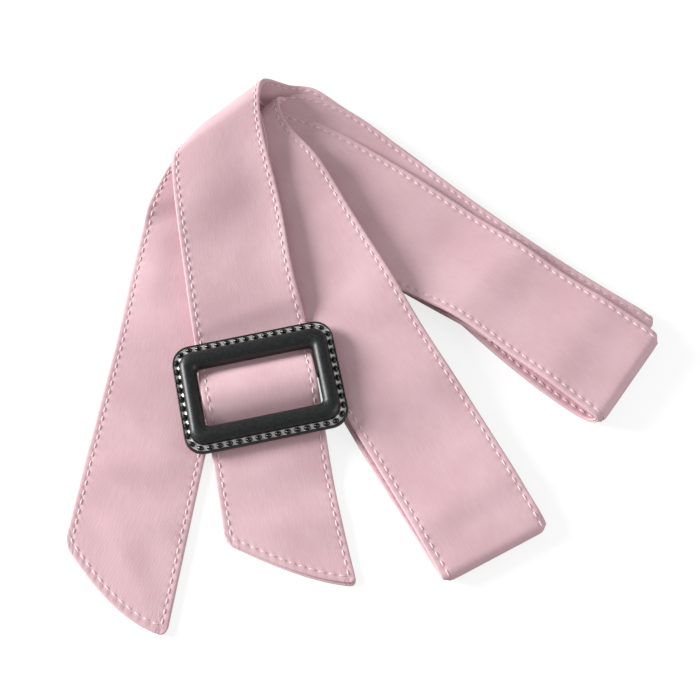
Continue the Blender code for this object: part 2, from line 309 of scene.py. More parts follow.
# %% Table of creases
# Places in mm, from the start of the run and from the belt's middle. The belt
# turns over at every fold, so a positive height is a ridge on the runs
# front_tail, arm_top, loop_top and arm_third, and a trough on the others.
CREASES = (
    # run, along, across, turned (degrees), reach, width, height
    ("front_tail", 17, 5, 75, 22, 7, 1.0),
    ("front_tail", 40, -6, 80, 22, 7, 0.70),
    ("front_tail", 112, 0, 90, 40, 10, -0.3),
    ("front_tail", 142, 5, 100, 22, 9, -0.3),
    ("front_tail", 158, 2, 84, 40, 15, -1.2),
    ("front_tail", 184, -12, 10, 26, 13, 0.6),
    ("front_tail", 164, 16, 2, 46, 13, -1.1),
    ("arm_top", 72, 2, 98, 34, 13, 1.6),
    ("arm_top", 101, 0, 92, 36, 12, -0.8),
    ("arm_top", 26, 0, 90, 40, 11, 1.3),
    ("arm_top", 134, 2, 90, 30, 12, 0.6),
    ("loop_top", 194, 14, 84, 18, 15, 1.9),
    ("loop_top", 80, 2, 100, 34, 14, 1.7),
    ("loop_top", 22, 2, 86, 34, 10, 0.9),
    ("arm_bottom", -28, -26, 0, 12, 8, -2.6),
    ("left_tail", -6, -26, 0, 12, 8, 2.2),
    ("arm_top", -7, -27, 90, 4, 7, -2.4),
    ("arm_top", -7, 27, 90, 4, 7, -2.4),
    ("arm_third", -4, 27, 90, 4, 5, 2.0),
    ("loop_top", -5, -27, 90, 4, 6, -2.0),
    ("loop_top", -5, 27, 90, 4, 6, -2.4),
    ("left_tail", 64, -16, 0, 24, 12, -1.3),
    ("left_tail", 82, -4, 72, 20, 9, 0.4),
    ("left_tail", 96, 4, 84, 22, 10, -0.4),
    ("left_tail", 112, -3, 100, 22, 9, 0.4),
    ("left_tail", 166, -4, 115, 24, 7, -1.5),
    ("left_tail", 189, 4, 116, 18, 6, -0.9),
    ("left_tail", 206, 8, 60, 12, 5, -0.5),
    ("arm_top", 40, 4, 100, 22, 11, 0.5),
    ("loop_top", 14, 0, 90, 26, 6, -0.4),
    ("loop_top", 52, -4, 76, 26, 12, -0.5),
    ("loop_top", 84, 6, 100, 20, 12, -0.3),
    ("loop_top", 120, 0, 86, 22, 12, 0.35),
    ("loop_under", 120, 0, 88, 24, 9, -0.25),
    ("loop_under", 170, 6, 96, 20, 10, -0.2),
    ("arm_second", 70, 14, 95, 12, 10, 0.15),
    ("arm_second", 130, 14, 80, 12, 12, -0.15),
    ("arm_bottom", 60, 14, 84, 12, 12, -0.12),
    ("arm_third", 90, -12, 92, 14, 12, 0.12),
)


def crease_height(s, v):
    """Sum of soft ridges: height * exp(-(distance / width)^2) across each one,
    times exp(-(distance / reach)^4) along it."""
    total = np.zeros(np.broadcast(s, v).shape)
    for run, along, across, turned, reach, width, height in CREASES:
        ds = s - (RUN_START[run] + along)
        dv = v - across
        c, n = math.cos(math.radians(turned)), math.sin(math.radians(turned))
        lengthwise = ds * c + dv * n
        sideways = -ds * n + dv * c
        total += height * np.exp(-(sideways / width) ** 2 - (lengthwise / reach) ** 4)
    return total


print("creases:", len(CREASES))

# %% [markdown]
# ## The surface half way through the cloth
#
# Everything on the belt is placed by two numbers: the length along it and the
# distance across it. One function turns them into a point and a direction
# square to the cloth, and every piece below is built from that function, so
# plies and stitches follow the same folds without being fitted to each other.

# %% The belt's middle surface
START_BOW = 3.2       # how far the front tail's slanted end bulges outwards, mm
END_BOW = 6.0         # the same for the left tail's end
BOW_REACH = 26.0      # length of belt over which that fades
TRAVEL_STEP = 0.3     # distance ahead and behind that gives the direction of travel


def bowed(s, v):
    """Belt length moved outwards near both ends: bow * (1 - (v / half)^2),
    times the square of what is left of the reach."""
    rounding = 1 - (2 * v / BELT_WIDTH) ** 2
    near_start = np.clip(1 - s / BOW_REACH, 0, 1) ** 2
    near_end = np.clip(1 - (BELT_LENGTH - s) / BOW_REACH, 0, 1) ** 2
    return s + rounding * (END_BOW * near_end - START_BOW * near_start)


def middle_surface(s, v):
    """Point and unit normal at length s and distance v across the belt.

    The point is on the straight line between both edges, moved along the
    normal by the creases' height. The normal is the cross product of that
    line and the direction of travel.
    """
    at = bowed(s, v)
    share = (v / BELT_WIDTH + 0.5)[..., None]
    left, right = left_curve(at), right_curve(at)
    point = left * (1 - share) + right * share
    front, behind = at + TRAVEL_STEP, at - TRAVEL_STEP
    ahead = (left_curve(front) - left_curve(behind)) * (1 - share)
    ahead = ahead + (right_curve(front) - right_curve(behind)) * share
    normal = np.cross(right - left, ahead)
    normal /= np.linalg.norm(normal, axis=-1)[..., None]
    point = point + normal * crease_height(s, v)[..., None]
    point[..., :2] -= TABLE_MIDDLE
    return point, normal


probe = middle_surface(np.array([60.0]), np.array([0.0]))
print("point under the buckle", probe[0].round(1), "normal", probe[1].round(2))

# %% [markdown]
# ## Distances from the slanted ends
#
# Both ends are cut on a slant and rounded, so a seam that keeps a constant
# distance from the end is not a line of constant belt length. The pace says
# how much nearer a millimetre of belt brings a point to the end. Dividing by
# it turns a distance from the end into a belt length, and the correction
# fades out farther in. The corners are rounded by the usual map from a square
# to a quarter of a disc.

# %% From distance to belt length
SQUARE_BAND = (10.0, 34.0)   # full correction up to the first, none past the second
CORNER = 3.4                 # radius of the turned corners, mm
PACE_STEP = 3.0              # length of belt over which the pace is taken
PACE_V = np.linspace(-HALF_WIDTH, HALF_WIDTH, 51)


def end_pace(at, step):
    """|step along the belt x unit tangent of the end| / |step|, for each v;
    the tangent is taken over one millimetre across."""
    s = np.full_like(PACE_V, at)
    ahead = middle_surface(s + step, PACE_V)[0] - middle_surface(s, PACE_V)[0]
    beside = middle_surface(s, PACE_V + 0.5)[0] - middle_surface(s, PACE_V - 0.5)[0]
    beside /= np.linalg.norm(beside, axis=-1)[..., None]
    return np.linalg.norm(np.cross(ahead, beside), axis=-1) / abs(step)


PACE_START = end_pace(0.0, PACE_STEP)
PACE_END = end_pace(BELT_LENGTH, -PACE_STEP)


def place_on_belt(row, v):
    """Belt length and v of a point `row` mm along, with true distances and
    round corners near the ends: a * sqrt(1 - b^2 / 2) maps square to disc,
    with a and b growing from 0 to 1 over the corner."""
    row, v = np.broadcast_arrays(np.asarray(row, float), np.asarray(v, float))
    late = row > BELT_LENGTH / 2
    near = np.where(late, BELT_LENGTH - row, row)
    a = np.clip(1 - near / CORNER, 0, 1)
    b = np.clip(1 - (HALF_WIDTH - np.abs(v)) / CORNER, 0, 1)
    near = near + CORNER * a * (1 - np.sqrt(1 - b * b / 2))
    v = v - np.sign(v) * CORNER * b * (1 - np.sqrt(1 - a * a / 2))
    pace = np.where(late, np.interp(v, PACE_V, PACE_END),
                    np.interp(v, PACE_V, PACE_START))
    full, none = SQUARE_BAND
    fade = np.clip((none - near) / (none - full), 0, 1)
    fade = fade * fade * (3 - 2 * fade)
    near = near * (1 + (1 / pace - 1) * fade)
    return np.where(late, BELT_LENGTH - near, near), v


print("pace at the front end", PACE_START[[0, 25, 50]].round(2),
      "and at the left end", PACE_END[[0, 25, 50]].round(2))

# %% [markdown]
# ## Two plies with turned edges
#
# The belt is cut twice, the raw edges are turned in, and both plies are
# topstitched together. That leaves a rounded lip at the rim with a fine dark
# line in it where the two turned edges meet, and a shallow valley where the
# stitching pulls the plies together. A Solidify modifier could not give that
# rim, so half a section is written down as a short table, from the meeting
# line inwards, and it is carried along both edges and across both ends.

# %% Half section of the belt's rim
RIM = np.array([
    # inward from the edge, height above the middle surface
    (0.50, 0.00), (0.26, 0.08), (0.07, 0.26), (0.00, 0.50), (0.07, 0.74),
    (0.26, 0.93), (0.60, 1.02), (1.10, 1.06), (1.80, 1.02), (2.30, 0.92),
    (2.70, 0.87), (3.10, 0.92), (3.80, 1.00), (5.60, 1.04), (10.0, 1.05)])
RIM_WIDTH, FLAT_HEIGHT = RIM[-1]
STITCH_LINE = 2.7               # distance of the stitching from the edge
RUN_STEP, TURN_STEP = 1.9, 0.7  # longest row on a run and in a turn, mm
COLUMNS_INSIDE = 9              # columns from one rim's inner edge to the other's


def belt_stations():
    """Lengths at which the belt is cut into rows between its rims: even steps
    along each run, and finer ones round each turn."""
    stops = [RIM_WIDTH]
    names = list(RUNS)
    for k, name in enumerate(names):
        start = max(RUN_START[name], stops[0])
        end = RUN_END[name] if name != names[-1] else BELT_LENGTH - stops[0]
        stops += list(np.linspace(start, end, int((end - start) / RUN_STEP) + 2)[1:])
        if k + 1 < len(names):
            turn = RUN_START[names[k + 1]] - end
            stops += list(np.linspace(end, end + turn, int(turn / TURN_STEP) + 2)[1:])
    return np.array(stops)


def with_rims(low, middle, high):
    """Places from low to high and the height at each: the rim's table inwards
    from both, and the middle places at full height between."""
    inward, height = RIM[:-1].T
    places = np.concatenate([low + inward, middle, high - inward[::-1]])
    flat = np.full(len(middle), FLAT_HEIGHT)
    return places, np.concatenate([height, flat, height[::-1]])


ROW_S, ROW_H = with_rims(0.0, belt_stations(), BELT_LENGTH)
inner = HALF_WIDTH - RIM_WIDTH
COLUMN_V, COLUMN_H = with_rims(-HALF_WIDTH, np.linspace(-inner, inner, COLUMNS_INSIDE),
                               HALF_WIDTH)
print("grid of the belt:", len(ROW_S), "x", len(COLUMN_V))

# %% [markdown]
# ## Where the needle goes
#
# One unbroken line of stitching runs round the belt at a constant distance
# from its edge. It is worked out before the cloth is built, because the cloth
# needs it too: a second map counts the stitches along it, so that the needle
# holes in the material fall between the stitches that are modelled.

# %% The line of stitching
STITCH_PITCH = 4.3    # from one stitch to the next, mm
LINE_STEP = 0.5       # between two points of the line
SIDE_V = HALF_WIDTH - STITCH_LINE
# The left edge's count starts again here, inside the pile.
RECOUNT = RUN_START["arm_third"] + 90


def stitch_line():
    """The closed line of stitching: row, v and true length at each point, in
    the order front end, right edge, left end, left edge."""
    along = np.arange(STITCH_LINE, BELT_LENGTH - STITCH_LINE, LINE_STEP)
    across = np.arange(-SIDE_V, SIDE_V, LINE_STEP)
    row = np.concatenate([np.full_like(across, STITCH_LINE), along,
                          np.full_like(across, BELT_LENGTH - STITCH_LINE), along[::-1],
                          [STITCH_LINE]])
    v = np.concatenate([across, np.full_like(along, SIDE_V), -across,
                        np.full_like(along, -SIDE_V), [-SIDE_V]])
    length = length_along(middle_surface(*place_on_belt(row, v))[0])
    return row, v, length, len(across), len(along)


LINE_ROW, LINE_V, LINE_LENGTH, ACROSS_COUNT, ALONG_COUNT = stitch_line()
STITCH_COUNT = round(LINE_LENGTH[-1] / STITCH_PITCH)
print("line of stitching: %.0f mm, %d stitches" % (LINE_LENGTH[-1], STITCH_COUNT))


def seam_map(row, v):
    """Second map of the cloth: number of stitches passed along the line, and
    distance outwards from it, both from the nearer of side and end."""
    counted = LINE_LENGTH / LINE_LENGTH[-1] * STITCH_COUNT
    a, b = ACROSS_COUNT, ACROSS_COUNT + ALONG_COUNT
    c, d = b + ACROSS_COUNT, b + ACROSS_COUNT + ALONG_COUNT
    near = np.minimum(row, BELT_LENGTH - row)
    from_end = STITCH_LINE - near
    from_side = np.abs(v) - SIDE_V
    right = np.interp(row, LINE_ROW[a:b], counted[a:b])
    left = np.interp(row, LINE_ROW[c:d][::-1], counted[c:d][::-1])
    left = np.where(row < RECOUNT, left - STITCH_COUNT, left)
    front = np.interp(v, LINE_V[:a], counted[:a])
    back = np.interp(v, LINE_V[b:c][::-1], counted[b:c][::-1])
    side = np.where(v > 0, right, left)
    end = np.where(row < BELT_LENGTH / 2, front, back)
    use_end = np.abs(from_end) < np.abs(from_side)
    return np.column_stack([np.where(use_end, end, side).ravel(),
                            np.where(use_end, from_end, from_side).ravel()])


# %% [markdown]
# ## The cloth as one skin
#
# Both plies are the same grid, once above and once below the middle surface.
# Their outermost points meet at the rim and are merged, which closes the skin
# all round. At both ends the second ply is cut a little longer, so that its
# lip shows past the first.

# %% Build the belt
UNDER_LIP, LIP_REACH = 0.8, 5.0   # how far the lip stands out and reaches in, mm
WELD_DISTANCE = 0.00001           # metres


def add_mesh(name, points, faces, **maps):
    """A mesh object from an array of points in millimetres and a face array.
    Each map is a named UV layer given per point, also in millimetres."""
    mesh = bpy.data.meshes.new(name)
    mesh.vertices.add(len(points))
    mesh.vertices.foreach_set("co", (points * MM).astype(np.float32).ravel())
    size = faces.shape[1]
    mesh.loops.add(faces.size)
    mesh.loops.foreach_set("vertex_index", faces.astype(np.int32).ravel())
    mesh.polygons.add(len(faces))
    starts = np.arange(0, faces.size, size, dtype=np.int32)
    mesh.polygons.foreach_set("loop_start", starts)
    mesh.update(calc_edges=True)
    for layer_name, uv in maps.items():
        corners = (uv[faces.ravel()] * MM).astype(np.float32)
        layer = mesh.uv_layers.new(name=layer_name)
        layer.data.foreach_set("uv", corners.ravel())
    mesh.validate()
    mesh.shade_smooth()
    obj = bpy.data.objects.new(name, mesh)
    bpy.context.scene.collection.objects.link(obj)
    return obj


def grid_quads(rows, columns, wrap=False):
    """Corner numbers of every quad of a grid; wrap joins the last column to
    the first."""
    i = np.arange(rows - 1)[:, None]
    j = np.arange(columns if wrap else columns - 1)[None, :]
    k = (j + 1) % columns
    quads = np.stack([i * columns + j, i * columns + k,
                      (i + 1) * columns + k, (i + 1) * columns + j], axis=-1)
    return quads.reshape(-1, 4)


def weld(obj):
    """Merges the points at which the two plies meet."""
    bm = bmesh.new()
    bm.from_mesh(obj.data)
    bmesh.ops.remove_doubles(bm, verts=bm.verts, dist=WELD_DISTANCE)
    bm.to_mesh(obj.data)
    bm.free()
    obj.data.update()


def build_belt():
    """Upper and lower ply: middle surface plus and minus normal * height. The
    lower one moves past the end by lip * exp(-(distance / reach)^2), fading
    to nothing where the plies meet."""
    row, column = np.meshgrid(ROW_S, COLUMN_V, indexing="ij")
    height = np.minimum(ROW_H[:, None], COLUMN_H[None, :])
    near_end = np.minimum(row, BELT_LENGTH - row)
    lip = UNDER_LIP * np.exp(-(near_end / LIP_REACH) ** 2) * np.clip(height * 3, 0, 1)
    lip = np.where(row < BELT_LENGTH / 2, -lip, lip)
    s, v = place_on_belt(row, column)
    upper, normal = middle_surface(s, v)
    lower, under_normal = middle_surface(s + lip, v)
    upper = upper + normal * height[..., None]
    lower = lower - under_normal * height[..., None]
    points = np.concatenate([upper.reshape(-1, 3), lower.reshape(-1, 3)])
    faces = grid_quads(len(ROW_S), len(COLUMN_V))
    faces = np.concatenate([faces, faces[:, ::-1] + upper[..., 0].size])
    weave = np.column_stack([s.ravel(), v.ravel()])
    seam = seam_map(row, column)
    obj = add_mesh("belt_cloth", points, faces,
                   weave=np.tile(weave, (2, 1)), seam=np.tile(seam, (2, 1)))
    weld(obj)
    return obj


belt = build_belt()
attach(belt, "root")
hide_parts(*CLOTH_NODES)
places = np.empty(len(belt.data.vertices) * 3)
belt.data.vertices.foreach_get("co", places)
print("belt_cloth:", len(belt.data.polygons), "faces, lowest point %.5f m"
      % places[2::3].min())

# %% [markdown]
# ## Topstitching
#
# A lockstitch runs all round the belt and shows on both faces. Each stitch is
# a short plump bit of thread that dives into the cloth at both ends. They are
# many, so each is only a tube of seven rings of six points with flat ends, and
# all the stitches of one face are made at once as a single array.

# %% Stitches
STITCH_LENGTH = 3.0
STITCH_LIFT = 1.03    # thread's centre line above the middle surface, mm
STITCH_DIVE = 0.45    # how much lower both ends of a stitch lie
THREAD_RADIUS = 0.29
THREAD_SPREAD = 1.15  # pulled tight, the thread is wider than high by this
RINGS, SIDES = 7, 6


def build_stitches(name, side):
    """Tubes along each stitch, with t from -1 to 1 along it: the centre line
    is at lift - dive * t^4, and the ring's radius is thread * (1 - t^6 / 2)."""
    t = np.linspace(-1, 1, RINGS)
    middle = (np.arange(STITCH_COUNT) + 0.5) * LINE_LENGTH[-1] / STITCH_COUNT
    at = middle[:, None] + t * STITCH_LENGTH / 2
    row, v = (np.interp(at, LINE_LENGTH, values) for values in (LINE_ROW, LINE_V))
    base, normal = middle_surface(*place_on_belt(row, v))
    normal = normal * side
    lift = STITCH_LIFT - STITCH_DIVE * t ** 4
    path = base + normal * lift[None, :, None]
    ahead = np.gradient(path, axis=1)
    ahead /= np.linalg.norm(ahead, axis=-1)[..., None]
    aside = np.cross(ahead, normal)
    turn = np.linspace(0, 2 * math.pi, SIDES + 1)[:-1]
    radius = THREAD_RADIUS * (1 - 0.5 * t ** 6)
    ring = (aside[:, :, None] * np.cos(turn)[None, None, :, None] * THREAD_SPREAD
            + normal[:, :, None] * np.sin(turn)[None, None, :, None])
    points = path[:, :, None] + ring * radius[None, :, None, None]

    first = (np.arange(STITCH_COUNT) * RINGS * SIDES)[:, None]
    tube = grid_quads(RINGS, SIDES, wrap=True) + first[:, None]
    last = (RINGS - 1) * SIDES
    ends = ((0, 1, 2, 3), (0, 3, 4, 5),
            (last + 3, last + 2, last + 1, last), (last + 5, last + 4, last + 3, last))
    faces = np.concatenate([tube.reshape(-1, 4)[:, ::-1], *(first + end for end in ends)])
    return add_mesh(name, points.reshape(-1, 3), faces)


stitches_top = build_stitches("stitches_face", 1)
stitches_under = build_stitches("stitches_back", -1)
for obj in (stitches_top, stitches_under):
    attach(obj, "root")
print("stitches on each face:", STITCH_COUNT)

# %% [markdown]
# ## The slider buckle
#
# The buckle is moulded plastic made to look like stitched leather: a plump
# round ring, and outside it a lower flange with a bright groove in which a row
# of glossy beads stands for the stitching. One section carried round between
# two rounded rectangles gives ring, groove and rim in a single skin. It is
# worked out flat and then put where the solid lies, tilted a little, because
# it rides on the belt.

# %% Buckle sizes
BUCKLE_MIDDLE = (-39.0, -22.4, 8.5)   # centre of its underside, mm
BUCKLE_TURN = (4.5, -3.0, 11.2)       # tilts and bearing, degrees
FRAME_OUTER, OUTER_CORNER = (71.2, 49.6), 8.2
FRAME_INNER, INNER_CORNER = (51.2, 27.0), 2.0
place = Vector(BUCKLE_MIDDLE) - Vector((*TABLE_MIDDLE, 0.0))
turned = Euler([math.radians(x) for x in BUCKLE_TURN], "XYZ").to_matrix().to_4x4()
BUCKLE_PLACE = Matrix.Translation(place) @ turned
box_low, box_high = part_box("buckle_frame")
print("buckle solid from", rounded(box_low), "to", rounded(box_high))


def place_buckle(points):
    """Moves points from the buckle's own flat frame to where it lies: turned,
    then shifted."""
    matrix = np.array(BUCKLE_PLACE)
    return points @ matrix[:3, :3].T + matrix[:3, 3]


def rounded_rectangle(size, radius, steps=14, straight=10):
    """Outline of a rounded rectangle: four quarter circles, and evenly spaced
    points along the straight sides between them."""
    corner = np.radians(np.linspace(0, 90, steps))
    half = np.array(size) / 2 - radius
    signs = np.array([(1, 1), (-1, 1), (-1, -1), (1, -1)])
    parts = []
    for quarter in range(4):
        angle = corner + quarter * math.pi / 2
        circle = radius * np.column_stack([np.cos(angle), np.sin(angle)])
        arc = signs[quarter] * half + circle
        start = signs[(quarter + 1) % 4] * half + circle[-1]
        share = np.linspace(0, 1, straight + 2)[1:-1, None]
        parts += [arc, arc[-1] * (1 - share) + start * share]
    return np.vstack(parts)


# %% Buckle moulding
ACROSS_UNIT = 10.0    # millimetres that the section map gives the whole way across
SECTION = np.array([
    # share of the way from inner to outer outline, height in mm
    (0.04, 0.05), (0.00, 0.40), (0.00, 1.60), (0.005, 2.90), (0.03, 3.80), (0.08, 4.60),
    (0.15, 5.25), (0.25, 5.72), (0.36, 5.90), (0.47, 5.75), (0.57, 5.25), (0.64, 4.50),
    (0.68, 3.70), (0.70, 3.00), (0.715, 2.45), (0.74, 2.10), (0.82, 1.98), (0.90, 2.08),
    (0.93, 2.35), (0.945, 2.60), (0.97, 2.60), (0.99, 2.30), (1.00, 1.75), (1.00, 0.60),
    (0.985, 0.20), (0.95, 0.02), (0.50, 0.00)])


def carried_round(section):
    """Plan = inner outline * (1 - across) + outer outline * across, with the
    section's height; the grid closes on itself both ways."""
    inner = rounded_rectangle(FRAME_INNER, INNER_CORNER)
    outer = rounded_rectangle(FRAME_OUTER, OUTER_CORNER)
    across = section[None, :, :1]
    plan = inner[:, None] * (1 - across) + outer[:, None] * across
    height = np.broadcast_to(section[None, :, 1:], plan.shape[:2] + (1,))
    return np.concatenate([plan, height], axis=2)


grid = carried_round(SECTION)
rows, columns = grid.shape[:2]
quads = grid_quads(rows + 1, columns, wrap=True) % (rows * columns)
around = length_along(grid[:, 0, :2])[:, None]
uv = np.stack(np.broadcast_arrays(around, SECTION[None, :, 0] * ACROSS_UNIT), axis=-1)
moulding = add_mesh("buckle_moulding", place_buckle(grid.reshape(-1, 3)),
                    quads[:, ::-1], section=uv.reshape(-1, 2))
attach(moulding, "root")
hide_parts("buckle_frame")
print("buckle_moulding:", len(moulding.data.polygons), "faces")

# %% [markdown]
# ## The row of beads
#
# The beads are moulded with the ring, and look like a row of fat stitches.
# Each is a stretched ball half sunk in the groove. There are many and they are
# tiny, so a ball has six rings of ten points and a flat lid at either end,
# and one array holds them all.

# %% Beads in the groove
BEAD_PITCH = 4.2
BEAD_HALF = (1.60, 1.12, 1.00)   # half sizes along, across and up, mm
BEAD_LINE = (0.82, 2.15)         # place of the beads' centres in the section
BEAD_AHEAD = 0.2                 # distance ahead that gives a bead's direction
BEAD_SIDES = 10
BEAD_RINGS = np.radians([-80, -45, -12, 20, 50, 80])


def build_beads():
    """Ellipsoids along the middle of the groove: each is
    centre + along * a cos(p) cos(q) + aside * b sin(p) cos(q) + up * c sin(q)."""
    loop = carried_round(np.array([BEAD_LINE]))[:, 0]
    loop = np.vstack([loop, loop[:1]])
    length = length_along(loop)
    count = round(length[-1] / BEAD_PITCH)

    def on_loop(at):
        """Point of the loop at a length, which starts again past the loop's end."""
        return np.stack([np.interp(at % length[-1], length, part) for part in loop.T],
                        axis=-1)

    at = (np.arange(count) + 0.5) * length[-1] / count
    centre = on_loop(at)
    ahead = on_loop(at + BEAD_AHEAD) - centre
    ahead /= np.linalg.norm(ahead, axis=1)[:, None]
    up = np.array([0.0, 0.0, 1.0])
    aside = np.cross(ahead, up)
    p, q = np.meshgrid(np.linspace(0, 2 * math.pi, BEAD_SIDES + 1)[:-1], BEAD_RINGS)
    a, b, c = BEAD_HALF
    shape = (ahead[:, None, None] * (a * np.cos(p) * np.cos(q))[None, ..., None]
             + aside[:, None, None] * (b * np.sin(p) * np.cos(q))[None, ..., None]
             + up * (c * np.sin(q))[None, ..., None])
    points = (centre[:, None, None] + shape).reshape(-1, 3)

    points_each = p.size
    first = (np.arange(count) * points_each)[:, None, None]
    lid = np.array([(0, k, k + 1, k + 2) for k in range(1, BEAD_SIDES - 2, 2)])
    top_lid = lid[:, ::-1] + points_each - BEAD_SIDES
    skin = grid_quads(len(BEAD_RINGS), BEAD_SIDES, wrap=True)
    faces = np.concatenate([(part + first).reshape(-1, 4) for part in (skin, lid, top_lid)])
    return add_mesh("buckle_beads", place_buckle(points), faces), count


beads, bead_count = build_beads()
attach(beads, "root")
print("beads:", bead_count)

# %% [markdown]
# ## Shader maths in plain Python
#
# Node materials are easier to read as formulas. A wire wraps one socket, and
# the usual operators on it add Math nodes, so 1 - mask or a * b + c can be
# written as they are. Everything that is not arithmetic comes from one
# method, which sets a node's type and settings before its values and links.

# %% Wires and paints
class Wire:
    """One output socket; arithmetic on it adds Math nodes."""

    def __init__(self, paint, socket):
        self.paint = paint
        self.socket = socket

    def maths(self, operation, a, b=0.0):
        """A Math node on two wires or numbers."""
        return self.paint.node("ShaderNodeMath", {"operation": operation}, {0: a, 1: b})

    def __add__(self, other):
        return self.maths("ADD", self, other)

    def __radd__(self, other):
        return self.maths("ADD", other, self)

    def __sub__(self, other):
        return self.maths("SUBTRACT", self, other)

    def __rsub__(self, other):
        return self.maths("SUBTRACT", other, self)

    def __mul__(self, other):
        return self.maths("MULTIPLY", self, other)

    def __rmul__(self, other):
        return self.maths("MULTIPLY", other, self)

    def __abs__(self):
        return self.maths("ABSOLUTE", self)

    def sine(self):
        return self.maths("SINE", self)

    def cosine(self):
        return self.maths("COSINE", self)


class Paint:
    """A Principled material built one node at a time; plain socket values are
    given with _ for each space."""

    def __init__(self, name, **plain):
        self.material = bpy.data.materials.new(name)
        self.material.use_nodes = True
        self.tree = self.material.node_tree
        self.shader = self.tree.nodes["Principled BSDF"]
        for socket, value in plain.items():
            self.shader.inputs[socket.replace("_", " ")].default_value = value

    def node(self, kind, settings=None, inputs=None, output=0):
        """Adds a node, gives it its settings, then its values and links."""
        node = self.tree.nodes.new(kind)
        for name, value in (settings or {}).items():
            setattr(node, name, value)
        for name, value in (inputs or {}).items():
            if isinstance(value, Wire):
                self.tree.links.new(value.socket, node.inputs[name])
            else:
                node.inputs[name].default_value = value
        return Wire(self, node.outputs[output])

    def feed(self, socket, wire):
        """Links a wire to a socket of the shader."""
        self.tree.links.new(wire.socket, self.shader.inputs[socket])

    def blend(self, factor, a, b):
        """Mixes two colours by a factor from 0 to 1."""
        return self.node("ShaderNodeMix", {"data_type": "RGBA"},
                         {0: factor, 6: a, 7: b}, output=2)

    def on_map(self, name):
        """Place on one of the piece's own maps."""
        return self.node("ShaderNodeUVMap", {"uv_map": name})

    def on_piece(self):
        """Place on the piece itself, in metres."""
        return self.node("ShaderNodeTexCoord", output=3)

    def split(self, vector):
        """First two parts of a vector."""
        first = self.node("ShaderNodeSeparateXYZ", {}, {0: vector})
        return first, Wire(self, first.socket.node.outputs[1])

    def smooth(self, value, low, high):
        """0 below low, 1 above high, and a smooth step between."""
        return self.node("ShaderNodeMapRange", {"interpolation_type": "SMOOTHSTEP"},
                         {0: value, 1: low, 2: high, 3: 0.0, 4: 1.0})

    def noise(self, vector, scale, detail=2.0, roughness=0.5):
        """Clouds between 0 and 1, about `scale` of them to a metre."""
        return self.node("ShaderNodeTexNoise", {},
                         {"Vector": vector, "Scale": scale, "Detail": detail,
                          "Roughness": roughness})

    def bump(self, height, distance, strength=1.0):
        """Normal of a surface raised by height * distance, in metres."""
        return self.node("ShaderNodeBump", {},
                         {"Height": height, "Distance": distance, "Strength": strength})


def rgb(code):
    """Linear colour of a six-digit sRGB code, by the usual two-part curve."""
    parts = [int(code[k:k + 2], 16) / 255 for k in (0, 2, 4)]
    return tuple(x / 12.92 if x < 0.04045 else ((x + 0.055) / 1.055) ** 2.4
                 for x in parts) + (1.0,)


# The rim colour is a painted highlight along the turned edge.
CLOTH_TONE, CLOTH_SHADE, CLOTH_RIM_HIGHLIGHT = "E7C2C9", "DCB4BC", "EFD3D8"
# The hole colour is painted shade inside each needle hole.
HOLE_SHADE_TONE, SHEEN_TONE, THREAD_TONE = "84525B", "F6E4E7", "F2DADE"
print("rose in linear light", [round(x, 3) for x in rgb(CLOTH_TONE)])

# %% [markdown]
# ## The cloth
#
# The cloth is a dusty rose twill with a soft, slightly satiny face. Its ribs
# follow the length of the belt wherever it turns, so the pattern reads the
# belt's first map, which holds length and distance across in metres. The ribs
# are faint and broken, and broad clouds of tone keep the cloth from looking
# painted. The second map counts stitches, so that each needle hole can sit as
# a faint dimple between two stitches, with the cloth puffed up beside the
# thread, and each hole is tinted darker as painted shade. The turned rim is
# painted a little paler, as a painted highlight along the edge.

# %% Cloth material
RIB_PITCH = 0.00135      # from one rib of the twill to the next, metres
RIB_LEAN = 0.35          # how far ribs lean away from the belt's length
BUMP_DISTANCE = 0.00005  # metres for a height of one


